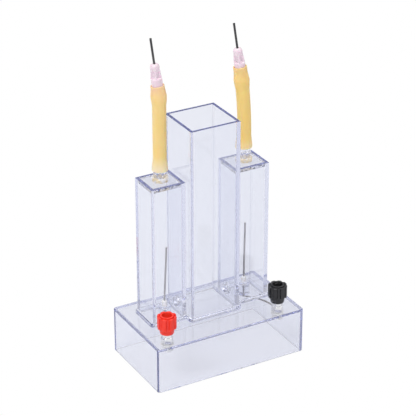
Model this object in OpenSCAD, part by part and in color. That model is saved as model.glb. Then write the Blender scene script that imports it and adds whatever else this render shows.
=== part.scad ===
// Three-tube water electrolysis apparatus of clear plastic: a hollow base, an open reservoir tube in
// the middle and a closed gas tube at each side, joined near the foot by two ports. Each gas tube holds
// a wire electrode and ends in a nozzle with a rubber tube and a blunt needle. Two screw terminals with
// plastic caps stand at the front. X runs left to right, Y front to back, Z up from the table.

/* [Base] */
// Length of the base, left to right
base_w = 111.6; // [104:0.2:130]
// Depth of the base, front to back
base_d = 65.6; // [60:0.2:80]
// Height of the deck's top above the table
base_h = 32.3; // [26:0.1:45]
// Thickness of the base's four walls
base_wall = 2.2; // [1.6:0.1:3]
// Thickness of the deck that carries the tubes
deck_t = 2.2; // [1.6:0.1:3]
// Radius of the base's four upright corners
base_corner_r = 2.4; // [1.6:0.1:3]
// Radius of the rounded edge round the deck
base_edge_r = 1.2; // [0.6:0.1:1.5]

/* [Tubes] */
// Outside width of the reservoir tube
reservoir_w = 36.6; // [32:0.1:40]
// Outside depth of the reservoir tube
reservoir_d = 35.4; // [30:0.1:38]
// Height of the reservoir tube above the deck
reservoir_h = 137.7; // [120:0.1:160]
// Outside width of each gas tube
gas_w = 24.8; // [22:0.1:27]
// Outside depth of each gas tube
gas_d = 23.4; // [20:0.1:30]
// Height of each gas tube above the deck
gas_h = 100.2; // [90:0.1:115]
// Wall thickness of all three tubes
tube_wall = 2.2; // [1.6:0.1:2.8]
// Radius of the tubes' outer corners
tube_corner_r = 0.9; // [0.5:0.1:1.4]
// Space between the reservoir and each gas tube
tube_gap = 0.8; // [0.5:0.1:2]
// Distance from the row of tubes to the base's back edge
row_setback = 25.2; // [23:0.1:30]
// Width of the raised collar round the feet of the tubes
collar_t = 1.7; // [1:0.1:2.5]
// Height of the raised collar
collar_h = 2.6; // [1:0.1:3]

/* [Ports] */
// Bore of the two ports between the reservoir and the gas tubes
port_bore = 6; // [5:0.1:6.4]
// Wall of the spigots that carry the ports
port_wall = 1.2; // [1:0.1:1.5]
// Height of the ports' centre line above the deck
port_lift = 7.6; // [7.6:0.1:12]

/* [Tube caps] */
// Thickness of the plate that closes a gas tube
plate_t = 3; // [2:0.1:5]
// Diameter of the nozzle's foot on the plate
nozzle_foot_d = 13; // [11:0.1:16]
// Diameter of the nozzle's neck, under the rubber tube
nozzle_neck_d = 8.8; // [8:0.1:9.6]
// Height of the neck above the plate
nozzle_neck_h = 7.2; // [5:0.1:10]
// Diameter of the spout that the rubber tube is pushed on
nozzle_spout_d = 6.8; // [6:0.1:7]
// Length of the spout above the neck
nozzle_spout_l = 9.5; // [6:0.1:14]
// Bore of the gas passage through the nozzle
nozzle_bore = 3; // [1.5:0.1:4]

/* [Rubber tubes] */
// Outside diameter of the rubber tubes
latex_d = 9.06; // [8.8:0.02:11]
// Free bore of the rubber tubes
latex_bore = 6; // [4:0.1:6.4]
// Length of the left rubber tube, foot to mouth
left_latex_l = 59; // [50:0.5:80]
// Length of the right rubber tube, foot to mouth
right_latex_l = 57; // [50:0.5:80]
// Length of spout left bare below the right rubber tube
right_bare_spout = 2.4; // [0:0.1:4]
// Outside diameter where a tube is stretched over its spout
latex_foot_d = 10.7; // [9.4:0.1:12]
// Outside diameter where a tube is stretched over the hub's flange
latex_bulge_d = 10.6; // [9.6:0.1:12]
// Height above its foot where the left tube begins to bend
left_bend_start = 44; // [20:0.5:46]
// Height above its foot where the right tube begins to bend
right_bend_start = 8; // [8:0.5:40]
// Lean of the left needle from upright, in degrees
left_needle_angle = 7.1; // [0:0.1:8]
// Lean of the right needle from upright, in degrees
right_needle_angle = 7.8; // [0:0.1:8]

/* [Needles] */
// Diameter of the hub's flange
hub_flange_d = 7.5; // [7:0.1:7.8]
// Thickness of the hub's flange
hub_flange_t = 1.2; // [0.8:0.1:2]
// Diameter of the hub's body just above the flange
hub_body_d = 7.2; // [6.4:0.1:7.4]
// Length of the hub
hub_l = 22.5; // [21:0.5:28]
// Diameter of the solid nose above the hub's fins
hub_nose_d = 6; // [5:0.1:6.2]
// Length of that nose
hub_nose_l = 4.5; // [3.5:0.1:5]
// Diameter at the very top of the nose
hub_tip_d = 3; // [2.8:0.1:4]
// Length of the hub's four fins
hub_fin_l = 5.2; // [4:0.1:6]
// Diameter of the hub's core between the fins
hub_core_d = 3.8; // [3.4:0.1:4.4]
// Depth that the left hub is pushed into its rubber tube
left_hub_depth = 8; // [7:0.5:11]
// Depth that the right hub is pushed into its rubber tube
right_hub_depth = 10; // [7:0.5:11]
// Diameter of the tapered socket inside the hub, at its mouth
hub_socket_d = 4.3; // [3.6:0.1:4.6]
// Depth of the tapered socket inside the hub
hub_socket_l = 10; // [7:0.5:12]
// Thickness of the hub's four fins
hub_fin_t = 1.2; // [0.8:0.1:1.4]
// Outside diameter of the needle tubes
needle_d = 1.47; // [1.27:0.01:1.8]
// Outside diameter of the bead of glue that holds a needle in its hub
glue_bead_d = 2.2; // [1.9:0.1:2.2]
// Bore of the needle tubes
needle_bore = 1.07; // [0.3:0.01:1.07]
// Length of the needles beyond their hubs
needle_l = 17; // [12:0.1:40]

/* [Electrodes] */
// Diameter of the electrode wires
electrode_d = 1.25; // [0.8:0.05:1.6]
// Reach of the left electrode above the deck
left_electrode_h = 53; // [40:0.1:70]
// Reach of the right electrode above the deck
right_electrode_h = 54.1; // [40:0.1:70]
// Lean of the left electrode above its seal, in degrees
left_electrode_angle = 2.5; // [0.5:0.1:5]
// Lean of the right electrode above its seal, in degrees
right_electrode_angle = 0.8; // [0.5:0.1:5]
// Distance of the left electrode's foot in front of the middle of its tube
left_electrode_offset = 3; // [0:0.1:3.5]
// Distance of the right electrode's foot in front of the middle of its tube
right_electrode_offset = 0; // [0:0.1:3.5]
// Diameter of the seal plugs
seal_d = 3.6; // [2.8:0.1:5]
// Height of the seal plugs
seal_h = 6.2; // [4:0.1:9]
// Diameter of the bosses that hold the seals
boss_d = 8; // [7:0.1:10]
// Height of the bosses above the deck
boss_h = 9.2; // [6:0.1:12]
// Depth of the pocket in each boss for its seal
boss_pocket = 2.2; // [1.5:0.1:4]

/* [Terminals] */
// Distance of both terminals from the base's front edge
post_setback = 7.6; // [6.8:0.1:9]
// Distance of the red terminal from the base's left edge
red_post_inset = 10.6; // [9:0.1:20]
// Distance of the black terminal from the base's right edge
black_post_inset = 16.8; // [9:0.1:20]
// Width across the flats of the terminal's hexagonal foot
hex_flats = 7; // [6.8:0.1:8.8]
// Height of the hexagonal foot
hex_h = 4.4; // [2:0.1:5]
// Diameter of the threaded stud inside the cap
stud_d = 6; // [5:0.1:6.4]
// Height of the stud's top above the deck
stud_h = 16.6; // [14:0.1:18]
// Diameter of the socket for a plug
socket_bore = 4; // [3:0.1:4]
// Depth of the socket
socket_depth = 13; // [8:0.1:13]
// Diameter of the shank below the deck
shank_d = 4; // [3:0.1:5]
// Length of shank that shows below the nut
shank_spare = 0.4; // [0.3:0.1:3]

/* [Terminal caps] */
// Diameter over the cap's lobes
cap_d = 12.9; // [12:0.1:13.5]
// Height of the cap
cap_h = 13.3; // [12:0.1:16]
// Height of the cap's lobed part
lobe_h = 9.3; // [7:0.1:10]
// Number of lobes round the cap
lobe_count = 8; // [6:1:12]
// Diameter of the flutes between the lobes
flute_d = 2.6; // [1.6:0.1:3]
// How far the flutes reach into the cap
flute_depth = 1.2; // [0.5:0.1:1.2]
// Diameter at the top of the cap's skirt
skirt_top_d = 10; // [9.6:0.1:11]
// Diameter at the bottom of the cap's skirt
skirt_foot_d = 9.4; // [9:0.1:9.6]
// Diameter of the hole in the cap's top
cap_hole_d = 6.6; // [6.6:0.1:7.2]
// Width of the raised ring round that hole
cap_ring_t = 1.3; // [0.6:0.1:1.4]
// Height of that raised ring
cap_ring_h = 0.6; // [0.3:0.1:1]
// Diameter of the metal bush where it shows below the cap
bush_d = 7.6; // [7.4:0.1:8.2]
// Height of the bush that shows below the cap
bush_h = 2.3; // [2:0.1:6]
// Length of the bush's shank inside the cap
bush_shank_l = 6; // [4:0.1:7]
// Wall of the bush's shank round the stud
bush_wall = 0.5; // [0.4:0.1:0.6]

/* [Terminal hardware] */
// Diameter of the washers under the deck
washer_d = 9; // [8:0.1:9]
// Thickness of the washers
washer_t = 0.5; // [0.5:0.1:1.2]
// Thickness of the solder tags
tag_t = 0.3; // [0.3:0.1:0.8]
// Width of a tag's tail
tag_tail_w = 2.4; // [1.8:0.1:3]
// Reach of a tag's tail from the shank's centre
tag_reach = 8.5; // [7:0.1:10]
// Width across the flats of the nuts
nut_flats = 7; // [6:0.1:7.4]
// Height of the nuts
nut_h = 2.2; // [2:0.1:4]
// Diameter of the lead wires
lead_d = 1.1; // [0.8:0.05:1.5]
// Bow of the left lead, towards the left
left_lead_bow = 1.5; // [0:0.5:6]
// Bow of the right lead, towards the right
right_lead_bow = 9.5; // [0:0.5:10]

/* [Hidden] */

$fn = 48;
overrun = 1;
// Clearance of a glued or pressed seat
bond_gap = 0.05;
// Radial clearance of a sliding or turning fit
run_gap = 0.05;
// Play between flat faces on pieces that move apart
seat_gap = 0.1;
// Radial play where nothing bears
free_gap = 0.3;
// Chamfer on small edges
small_chamfer = 0.4;

left = -1;
right = 1;
row_y = base_d / 2 - row_setback;
gas_x = reservoir_w / 2 + tube_gap + gas_w / 2;
deck_under = base_h - deck_t;
plate_top = base_h + gas_h;
neck_top = plate_top + nozzle_neck_h;
// Values of the left and the right rubber tube, needle and electrode, in pairs
bare_spouts = [0, right_bare_spout];
latex_ls = [left_latex_l, right_latex_l];
bend_starts = [left_bend_start, right_bend_start];
needle_angles = [left_needle_angle, right_needle_angle];
hub_depths = [left_hub_depth, right_hub_depth];
electrode_offsets = [left_electrode_offset, right_electrode_offset];
// The needles lean towards the back left, square to the direction that the front left looks along
lean_turn = 150.5;
lean_dir = [cos(lean_turn), sin(lean_turn), 0];
lean_side = [-sin(lean_turn), cos(lean_turn), 0];
// The electrodes lean the other way
electrode_turn = lean_turn + 180;
latex_sides = 24;
latex_rings = 28;
latex_bore_rings = 10;
// Length over which the foot's flare fades out
latex_flare_l = nozzle_spout_l;
// Half the length of the bulge over the hub's flange
latex_bulge_l = 6.5;
// Taper of the hub's socket, as a share of its length
socket_taper_share = 0.06;
// Radius of the pocket that holds the hub's flange
pocket_r = hub_flange_d / 2 + run_gap;
post_y = post_setback - base_d / 2;
red_x = red_post_inset - base_w / 2;
black_x = base_w / 2 - black_post_inset;
cap_foot = base_h + hex_h + seat_gap + bush_h + seat_gap;
washer_z = deck_under - washer_t;
tag_z = washer_z - tag_t;
nut_z = tag_z - nut_h;
shank_end = nut_z - shank_spare;
lead_z = tag_z - lead_d / 2;
// Turn of the terminals' hexagonal feet, in degrees
hex_turn = 15;
lead_sides = 10;
lead_rings = 14;
clear_plastic = [0.86, 0.88, 0.95, 0.35];

// Rounded rectangle about the origin, made of squares and round corners
module rounded_rect(w, d, r) {
    square([w - 2 * r, d], center = true);
    square([w, d - 2 * r], center = true);
    for (x = [-1, 1], y = [-1, 1]) translate([x * (w / 2 - r), y * (d / 2 - r)]) circle(r);
}

// The outlines of the three tubes, each grown by the same amount
module tube_outlines(grow) {
    translate([0, row_y])
        rounded_rect(reservoir_w + 2 * grow, reservoir_d + 2 * grow, tube_corner_r + grow);
    for (side = [left, right]) translate([side * gas_x, row_y])
        rounded_rect(gas_w + 2 * grow, gas_d + 2 * grow, tube_corner_r + grow);
}

// Hexagonal prism with the given width across its flats
module hex_prism(flats, h) {
    cylinder(d = flats / cos(30), h = h, $fn = 6);
}

// Points round one ring of a swept tube; the sweep lies in a plane whose normal is given
function ring_points(centre, along, normal, r, sides) =
    [for (j = [0 : sides - 1]) centre + r * (cos(360 * j / sides) * normal
        + sin(360 * j / sides) * cross(along / norm(along), normal))];

// Direction of a run of points at its point i
function run_along(run, i) = run[min(i + 1, len(run) - 1)] - run[max(i - 1, 0)];

// Solid tube swept along a run of points, with a radius for each point
module swept_tube(run, radii, normal, sides) {
    rings = len(run);
    points = [for (i = [0 : rings - 1])
        each ring_points(run[i], run_along(run, i), normal, radii[i], sides)];
    walls = [for (i = [0 : rings - 2], j = [0 : sides - 1])
        let (a = i * sides + j, b = i * sides + (j + 1) % sides)
        each [[a, a + sides, b + sides], [a, b + sides, b]]];
    first = [for (j = [0 : sides - 1]) j];
    last = [for (j = [sides - 1 : -1 : 0]) (rings - 1) * sides + j];
    polyhedron(points, concat(walls, [first, last]), convexity = 4);
}

// The value for one side, out of a pair of values for the left and the right
function pick(side, pair) = side == left ? pair[0] : pair[1];

// Where an electrode passes through the deck
function electrode_foot(side) = [side * gas_x, row_y - pick(side, electrode_offsets)];

// Places its children on an electrode's upright line, at a height above the table
module at_electrode(side, z) {
    translate([electrode_foot(side).x, electrode_foot(side).y, z]) children();
}

// Base: a hollow box open below, with the collar, the seal bosses and the holes in its deck
module base_shell() {
    corner = concat([[0, 0], [base_corner_r, 0]],
        [for (a = [0 : 15 : 90]) [base_corner_r - base_edge_r * (1 - cos(a)),
            base_h - base_edge_r * (1 - sin(a))]], [[0, base_h]]);
    difference() {
        hull() for (x = [-1, 1], y = [-1, 1])
            translate([x * (base_w / 2 - base_corner_r), y * (base_d / 2 - base_corner_r), 0])
                rotate_extrude($fn = 32) polygon(corner);
        translate([0, 0, -overrun]) linear_extrude(deck_under + overrun)
            rounded_rect(base_w - 2 * base_wall, base_d - 2 * base_wall, base_edge_r);
    }
}

module base_box() {
    color(clear_plastic) difference() {
        union() {
            base_shell();
            translate([0, 0, deck_under]) linear_extrude(deck_t + collar_h) difference() {
                tube_outlines(collar_t);
                tube_outlines(bond_gap);
            }
            for (side = [left, right]) at_electrode(side, deck_under)
                cylinder(d = boss_d, h = deck_t + boss_h);
        }
        for (side = [left, right]) {
            at_electrode(side, deck_under - overrun)
                cylinder(d = electrode_d + 2 * bond_gap, h = deck_t + boss_h + 2 * overrun);
            at_electrode(side, base_h + boss_h - boss_pocket)
                cylinder(d = seal_d + 2 * bond_gap, h = boss_pocket + overrun);
        }
        for (x = [red_x, black_x]) translate([x, post_y, deck_under - overrun])
            cylinder(d = shank_d + 2 * bond_gap, h = deck_t + 2 * overrun);
    }
}

// Reservoir: an open square tube with a ported spigot at each side of its foot
module reservoir_tube() {
    spigot_l = reservoir_w / 2 + tube_gap + tube_wall;
    color(clear_plastic) translate([0, row_y, base_h]) difference() {
        union() {
            linear_extrude(reservoir_h) rounded_rect(reservoir_w, reservoir_d, tube_corner_r);
            translate([-spigot_l, 0, port_lift]) rotate([0, 90, 0])
                cylinder(d = port_bore + 2 * port_wall, h = 2 * spigot_l);
        }
        translate([0, 0, -overrun]) linear_extrude(reservoir_h + 2 * overrun)
            rounded_rect(reservoir_w - 2 * tube_wall, reservoir_d - 2 * tube_wall, tube_corner_r);
        translate([-spigot_l - overrun, 0, port_lift]) rotate([0, 90, 0])
            cylinder(d = port_bore, h = 2 * (spigot_l + overrun));
    }
}

// Gas tube: a square tube whose inner wall is holed for the reservoir's spigot
module gas_tube(side) {
    color(clear_plastic) translate([side * gas_x, row_y, base_h]) difference() {
        linear_extrude(gas_h) rounded_rect(gas_w, gas_d, tube_corner_r);
        translate([0, 0, -overrun]) linear_extrude(gas_h + 2 * overrun)
            rounded_rect(gas_w - 2 * tube_wall, gas_d - 2 * tube_wall, tube_corner_r);
        translate([-side * gas_w / 2, 0, port_lift]) rotate([0, 90, 0])
            cylinder(d = port_bore + 2 * (port_wall + bond_gap), h = 2 * (tube_wall + overrun),
                center = true);
    }
}

module left_gas_tube() { gas_tube(left); }
module right_gas_tube() { gas_tube(right); }

// Closing plate with a nozzle whose foot sweeps up into the neck
module tube_cap(side) {
    foot_r = nozzle_foot_d / 2;
    neck_r = nozzle_neck_d / 2;
    sweep = foot_r - neck_r;
    steps = 6;
    foot_curve = [for (i = [0 : steps]) let (turn = 90 * i / steps)
        [foot_r - sweep * sin(turn), plate_t + sweep * (1 - cos(turn))]];
    color(clear_plastic) translate([side * gas_x, row_y, plate_top - plate_t]) difference() {
        union() {
            linear_extrude(plate_t) rounded_rect(gas_w - 2 * (tube_wall + bond_gap),
                gas_d - 2 * (tube_wall + bond_gap), tube_corner_r);
            rotate_extrude() polygon(concat(
                [[0, plate_t / 2], [foot_r, plate_t / 2]], foot_curve,
                [[neck_r, plate_t + nozzle_neck_h],
                [nozzle_spout_d / 2, plate_t + nozzle_neck_h],
                [nozzle_spout_d / 2, plate_t + nozzle_neck_h + nozzle_spout_l - 2 * small_chamfer],
                [nozzle_spout_d / 2 - small_chamfer, plate_t + nozzle_neck_h + nozzle_spout_l],
                [0, plate_t + nozzle_neck_h + nozzle_spout_l]]));
        }
        translate([0, 0, -overrun])
            cylinder(d = nozzle_bore, h = plate_t + nozzle_neck_h + nozzle_spout_l + 2 * overrun);
    }
}

module left_tube_cap() { tube_cap(left); }
module right_tube_cap() { tube_cap(right); }

// Point on a rubber tube's bent centre line, at a height above its foot
function latex_point(h, side) =
    let (from = pick(side, bend_starts), bent = max(0, h - from), all = pick(side, latex_ls) - from)
    [0, 0, h] + tan(pick(side, needle_angles)) * bent * bent / (2 * all) * lean_dir;

function ease(t) = let (u = max(0, min(1, t))) u * u * (3 - 2 * u);
function bump(t) = pow(max(0, 1 - t * t), 2);

// Outside radius of a rubber tube at a height above its foot
function latex_r(h, side) = latex_d / 2
    + (latex_foot_d - latex_d) / 2 * (1 - ease(h / latex_flare_l))
    + (latex_bulge_d - latex_d) / 2
        * bump((h - pick(side, latex_ls) + pick(side, hub_depths)) / latex_bulge_l);

// Places its children at the foot of a rubber tube
module at_foot(side) {
    translate([side * gas_x, row_y, neck_top + seat_gap + pick(side, bare_spouts)]) children();
}

// Places its children at the mouth of a rubber tube, standing along the needle's leaning line
module at_mouth(side) {
    at_foot(side) translate(latex_point(pick(side, latex_ls), side))
        rotate(pick(side, needle_angles), lean_side) children();
}

// Rubber tube, stretched over the spout at its foot and over the hub's flange near its mouth
module latex_tube(side) {
    tube_l = pick(side, latex_ls);
    spout_in = nozzle_spout_l - pick(side, bare_spouts);
    hub_depth = pick(side, hub_depths);
    bore_l = tube_l - hub_depth - spout_in;
    heights = [for (i = [0 : latex_rings]) tube_l * i / latex_rings];
    bore_heights = [for (i = [0 : latex_bore_rings]) spout_in + bore_l * i / latex_bore_rings];
    color([0.95, 0.80, 0.50]) difference() {
        at_foot(side) difference() {
            swept_tube([for (h = heights) latex_point(h, side)],
                [for (h = heights) latex_r(h, side)], lean_side, latex_sides);
            translate([0, 0, -overrun])
                cylinder(d = nozzle_spout_d + 2 * run_gap, h = spout_in + 2 * overrun);
            swept_tube([for (h = bore_heights) latex_point(h, side)],
                [for (h = bore_heights) latex_bore / 2], lean_side, latex_sides);
        }
        at_mouth(side) translate([0, 0, -hub_depth])
            cylinder(r = pocket_r, h = hub_depth + 2 * overrun);
    }
}

module left_latex_tube() { latex_tube(left); }
module right_latex_tube() { latex_tube(right); }

// Needle hub: flange, round body, four fins on a core, and a domed nose; a tapered socket below
module needle_hub(side) {
    flange_r = hub_flange_d / 2;
    body_r = hub_body_d / 2;
    core_r = hub_core_d / 2;
    nose_r = hub_nose_d / 2;
    tip_r = hub_tip_d / 2;
    nose_z = hub_l - hub_nose_l;
    fin_z = nose_z - hub_fin_l;
    dome_h = hub_nose_l / 2;
    dome = [for (a = [0 : 15 : 90])
        [tip_r + (nose_r - tip_r) * cos(a), hub_l - dome_h * (1 - sin(a))]];
    color([0.93, 0.78, 0.90]) at_mouth(side)
        translate([0, 0, seat_gap - pick(side, hub_depths)]) difference() {
            union() {
                rotate_extrude() polygon(concat([[0, 0], [flange_r, 0], [flange_r, hub_flange_t],
                    [body_r, hub_flange_t + small_chamfer], [body_r, fin_z],
                    [core_r, fin_z + small_chamfer], [core_r, nose_z - small_chamfer],
                    [nose_r, nose_z]], dome, [[0, hub_l]]));
                for (turn = [0, 90]) rotate([90, 0, lean_turn + turn])
                    translate([0, 0, -hub_fin_t / 2]) linear_extrude(hub_fin_t)
                        polygon([[-body_r, fin_z], [body_r, fin_z], [nose_r, nose_z],
                            [-nose_r, nose_z]]);
            }
            translate([0, 0, -overrun]) cylinder(h = hub_socket_l + overrun,
                d1 = hub_socket_d + overrun * socket_taper_share,
                d2 = hub_socket_d - hub_socket_l * socket_taper_share);
            cylinder(d = glue_bead_d + 2 * bond_gap, h = hub_l + overrun);
        }
}

module left_needle_hub() { needle_hub(left); }
module right_needle_hub() { needle_hub(right); }

// Blunt needle: a metal tube from the top of the hub's socket, with the bead of glue that holds it
module needle_tube(side) {
    glued_l = hub_l - hub_socket_l;
    color([0.42, 0.42, 0.44]) at_mouth(side)
        translate([0, 0, seat_gap - pick(side, hub_depths) + hub_socket_l]) difference() {
            union() {
                cylinder(d = glue_bead_d, h = glued_l);
                cylinder(d = needle_d, h = glued_l + needle_l);
            }
            translate([0, 0, -overrun])
                cylinder(d = needle_bore, h = glued_l + needle_l + 2 * overrun);
        }
}

module left_needle() { needle_tube(left); }
module right_needle() { needle_tube(right); }

// Electrode: an upright wire through the boss, bent over slightly above its seal
module electrode(side, reach, lean) {
    bend_z = base_h + boss_h - boss_pocket + seal_h + electrode_d;
    bend_r = 8 * electrode_d;
    shank_l = bend_z - tag_z;
    rest_h = base_h + reach - bend_z - bend_r * sin(lean);
    color([0.60, 0.59, 0.60]) at_electrode(side, tag_z) {
        cylinder(d = electrode_d, h = shank_l);
        translate([0, 0, shank_l]) rotate(electrode_turn) {
            translate([bend_r, 0, 0]) rotate([90, 0, 180]) rotate_extrude(angle = lean)
                translate([bend_r, 0]) circle(d = electrode_d);
            translate([bend_r * (1 - cos(lean)), 0, bend_r * sin(lean)]) rotate([0, lean, 0])
                cylinder(d = electrode_d, h = rest_h / cos(lean));
        }
    }
}

module left_electrode() { electrode(left, left_electrode_h, left_electrode_angle); }
module right_electrode() { electrode(right, right_electrode_h, right_electrode_angle); }

// Seal: a soft sleeve round the wire, seated in the boss's pocket, with a narrower top
module electrode_seal(side) {
    color([0.95, 0.94, 0.92]) at_electrode(side, base_h + boss_h - boss_pocket)
        rotate_extrude()
            polygon([[electrode_d / 2 + bond_gap, 0], [seal_d / 2, 0],
                [seal_d / 2, seal_h - 2 * small_chamfer], [seal_d / 2 - small_chamfer, seal_h],
                [electrode_d / 2 + bond_gap, seal_h]]);
}

module left_electrode_seal() { electrode_seal(left); }
module right_electrode_seal() { electrode_seal(right); }

// Where a lead pulls towards from its terminal, and the two ends of the lead
function lead_pull(side, x, bow) = (electrode_foot(side) + [x, post_y]) / 2 + [side * bow, 0];
function tail_dir(side, x, bow) =
    let (to = lead_pull(side, x, bow) - [x, post_y]) to / norm(to);

// Lead wire: from under the electrode's foot to under the tail of the solder tag
module lead_wire(side, x, bow) {
    from = electrode_foot(side);
    pull = lead_pull(side, x, bow);
    to = [x, post_y] + (tag_reach - washer_d / 4) * tail_dir(side, x, bow);
    start = from - electrode_d * (pull - from) / norm(pull - from);
    run = [for (i = [0 : lead_rings]) let (t = i / lead_rings,
        p = (1 - t) * (1 - t) * start + 2 * t * (1 - t) * pull + t * t * to) [p.x, p.y, lead_z]];
    color([0.62, 0.60, 0.58])
        swept_tube(run, [for (p = run) lead_d / 2], [0, 0, 1], lead_sides);
}

module left_lead_wire() { lead_wire(left, red_x, left_lead_bow); }
module right_lead_wire() { lead_wire(right, black_x, right_lead_bow); }

// Terminal stud: hexagonal foot on the deck, socketed stud above it and a shank through the deck
module post_stud(x) {
    color([0.83, 0.83, 0.85]) translate([x, post_y, base_h]) difference() {
        union() {
            intersection() {
                rotate(hex_turn) hex_prism(hex_flats, hex_h);
                cylinder(d1 = hex_flats / cos(30) + 2 * hex_h, d2 = hex_flats, h = hex_h);
            }
            cylinder(d = stud_d, h = stud_h - small_chamfer);
            translate([0, 0, stud_h - small_chamfer])
                cylinder(d1 = stud_d, d2 = stud_d - 2 * small_chamfer, h = small_chamfer);
            translate([0, 0, shank_end - base_h]) cylinder(d = shank_d, h = base_h - shank_end);
        }
        translate([0, 0, stud_h - socket_depth])
            cylinder(d = socket_bore, h = socket_depth + overrun);
    }
}

module red_post_stud() { post_stud(red_x); }
module black_post_stud() { post_stud(black_x); }

// Cap bush: a round collar below the cap and a shank inside it, bored to run on the stud
module cap_bush(x) {
    collar_r = bush_d / 2;
    shank_r = stud_d / 2 + run_gap + bush_wall;
    color([0.85, 0.85, 0.87]) translate([x, post_y, base_h + hex_h + seat_gap]) rotate_extrude()
        polygon([[stud_d / 2 + run_gap, 0], [collar_r - small_chamfer, 0],
            [collar_r, small_chamfer], [collar_r, bush_h], [shank_r, bush_h],
            [shank_r, bush_h + bush_shank_l], [stud_d / 2 + run_gap, bush_h + bush_shank_l]]);
}

module red_cap_bush() { cap_bush(red_x); }
module black_cap_bush() { cap_bush(black_x); }

// Terminal cap: a fluted grip over a tapered skirt, with a pocket for the bush and a plug hole
module terminal_cap(x, tint) {
    lobe_z = cap_h - lobe_h;
    grip_r = cap_d / 2;
    core_r = grip_r - flute_depth;
    pocket_d = stud_d + 2 * (run_gap + bush_wall + run_gap);
    ring_r = cap_hole_d / 2 + cap_ring_t;
    color(tint) translate([x, post_y, cap_foot]) difference() {
        union() {
            difference() {
                rotate_extrude() polygon([[0, lobe_z], [skirt_top_d / 2, lobe_z],
                    [grip_r, lobe_z + small_chamfer], [grip_r, cap_h - cap_ring_h - small_chamfer],
                    [grip_r - small_chamfer, cap_h - cap_ring_h], [0, cap_h - cap_ring_h]]);
                for (i = [0 : lobe_count - 1]) rotate(360 * (i + 0.5) / lobe_count)
                    translate([core_r + flute_d / 2, 0, lobe_z - overrun])
                        cylinder(d = flute_d, h = lobe_h + 2 * overrun, $fn = 24);
            }
            rotate_extrude() polygon([[0, 0], [skirt_foot_d / 2 - 2 * small_chamfer, 0],
                [skirt_foot_d / 2 - small_chamfer / 2, small_chamfer / 2],
                [skirt_foot_d / 2, 2 * small_chamfer], [skirt_top_d / 2, lobe_z + small_chamfer],
                [0, lobe_z + small_chamfer]]);
            cylinder(r = ring_r, h = cap_h);
        }
        translate([0, 0, -overrun])
            cylinder(d = pocket_d, h = bush_shank_l + seat_gap + overrun);
        cylinder(d = cap_hole_d, h = cap_h + overrun);
    }
}

module red_cap() { terminal_cap(red_x, [0.90, 0.13, 0.09]); }
module black_cap() { terminal_cap(black_x, [0.12, 0.12, 0.13]); }

// Hardware under the deck: a washer, a solder tag and a nut on each shank
module post_washer(x) {
    color([0.78, 0.78, 0.80]) translate([x, post_y, washer_z]) difference() {
        cylinder(d = washer_d, h = washer_t);
        translate([0, 0, -overrun])
            cylinder(d = shank_d + 2 * run_gap, h = washer_t + 2 * overrun);
    }
}

module red_post_washer() { post_washer(red_x); }
module black_post_washer() { post_washer(black_x); }

module post_tag(side, x, bow) {
    tail = tail_dir(side, x, bow);
    color([0.80, 0.76, 0.62]) translate([x, post_y, tag_z]) linear_extrude(tag_t) difference() {
        union() {
            circle(d = nut_flats);
            rotate(atan2(tail.y, tail.x)) translate([0, -tag_tail_w / 2])
                square([tag_reach, tag_tail_w]);
        }
        circle(d = shank_d + 2 * run_gap);
    }
}

module red_post_tag() { post_tag(left, red_x, left_lead_bow); }
module black_post_tag() { post_tag(right, black_x, right_lead_bow); }

module post_nut(x) {
    color([0.82, 0.82, 0.84]) translate([x, post_y, nut_z]) difference() {
        hex_prism(nut_flats, nut_h);
        translate([0, 0, -overrun]) cylinder(d = shank_d + 2 * run_gap, h = nut_h + 2 * overrun);
    }
}

module red_post_nut() { post_nut(red_x); }
module black_post_nut() { post_nut(black_x); }

base_box();
reservoir_tube();
left_gas_tube();
right_gas_tube();
left_tube_cap();
right_tube_cap();
left_latex_tube();
right_latex_tube();
left_needle_hub();
right_needle_hub();
left_needle();
right_needle();
left_electrode();
right_electrode();
left_electrode_seal();
right_electrode_seal();
left_lead_wire();
right_lead_wire();
red_post_stud();
black_post_stud();
red_cap();
black_cap();
red_cap_bush();
black_cap_bush();
red_post_washer();
black_post_washer();
red_post_tag();
black_post_tag();
red_post_nut();
black_post_nut();
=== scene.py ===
import math

import bmesh
import bpy
from mathutils import Matrix, Vector


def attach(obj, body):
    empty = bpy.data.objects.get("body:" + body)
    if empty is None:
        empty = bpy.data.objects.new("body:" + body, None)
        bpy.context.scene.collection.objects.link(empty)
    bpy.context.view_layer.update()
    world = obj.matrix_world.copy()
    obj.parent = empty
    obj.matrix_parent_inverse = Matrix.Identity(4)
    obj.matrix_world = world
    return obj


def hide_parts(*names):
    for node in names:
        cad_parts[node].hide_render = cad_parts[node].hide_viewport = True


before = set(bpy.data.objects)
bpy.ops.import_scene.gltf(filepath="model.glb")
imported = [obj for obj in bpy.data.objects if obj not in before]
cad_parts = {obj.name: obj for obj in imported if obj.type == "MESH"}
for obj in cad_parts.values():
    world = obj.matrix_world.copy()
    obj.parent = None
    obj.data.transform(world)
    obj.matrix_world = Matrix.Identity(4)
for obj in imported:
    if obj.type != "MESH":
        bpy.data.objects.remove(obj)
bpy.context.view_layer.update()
bpy.ops.object.select_all(action="DESELECT")


# Camera
# Looks at the apparatus from the front left and above, with the long lens of a catalogue photo.
# Its angle, distance and lens were fitted to the corners of the base and of the three tubes.
mm = 0.001
view_turn = math.radians(-29.51)
view_rise = math.radians(26.56)
view_distance = 1166.88 * mm
view_aim = Vector((-0.264, 0.0, 108.02)) * mm

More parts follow.
